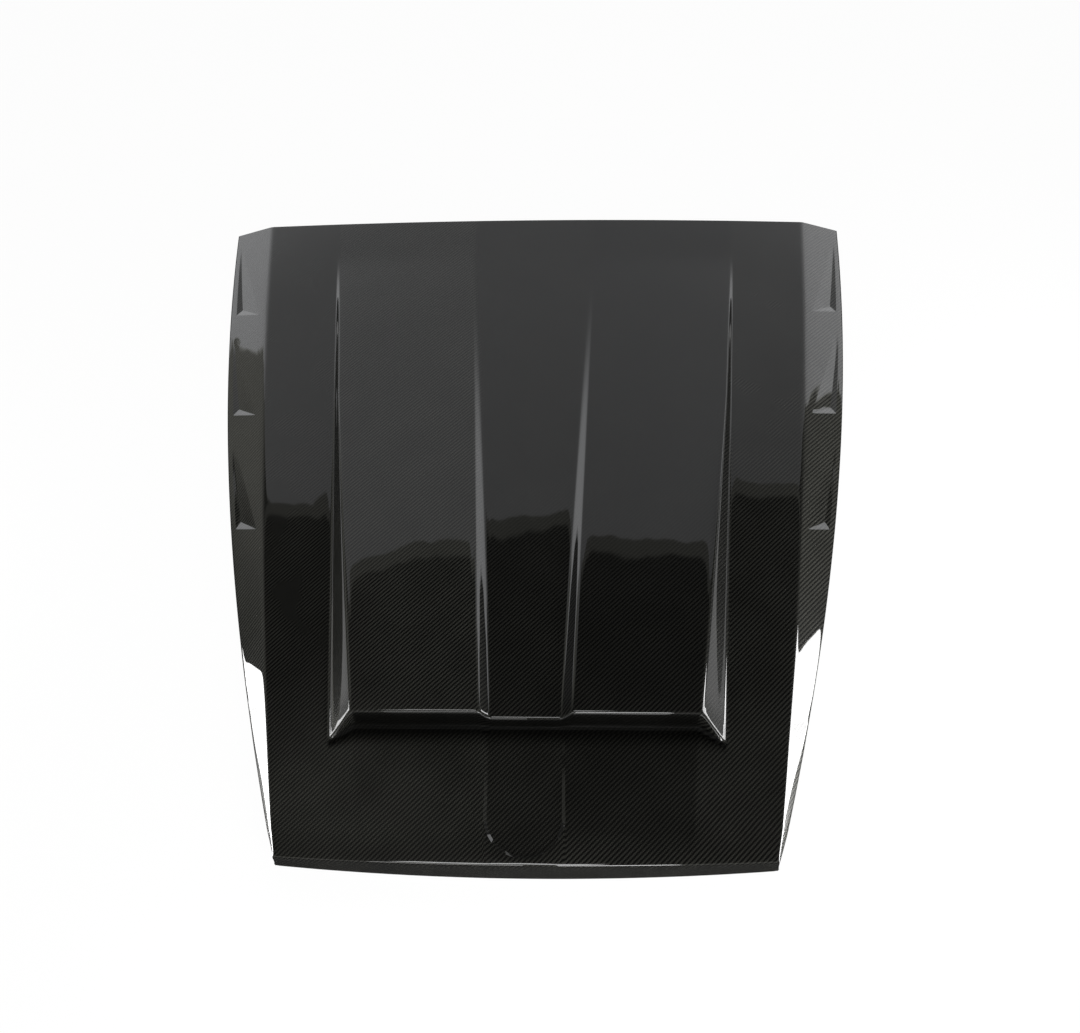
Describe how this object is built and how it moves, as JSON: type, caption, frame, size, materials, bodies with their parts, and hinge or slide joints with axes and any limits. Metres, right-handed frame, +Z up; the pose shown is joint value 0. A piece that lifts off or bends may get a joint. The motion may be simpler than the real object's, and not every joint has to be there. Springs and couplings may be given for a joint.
{
  "type": "bonnet scoop",
  "caption": "Moulded carbon fibre bonnet scoop: crowned panel with raised lobes divided by a tapering channel, a blank badge recess, and hollow vents along its sloping flanks.",
  "frame": {"origin": "middle of the box's foot, on the plane of the trimmed rim that rests on the bonnet", "axes": "+Z up off the bonnet, +Y rearwards towards the windscreen along the part's length, +X to the right when looking rearwards"},
  "size_m": [1.078, 1.13, 0.081],
  "materials": {
    "carbon_laminate": "woven black 2x2 twill carbon fibre under a thick, glossy clear coat"
  },
  "bodies": {
    "root": {"bonnet_scoop": "carbon_laminate"}
  },
  "joints": []
}
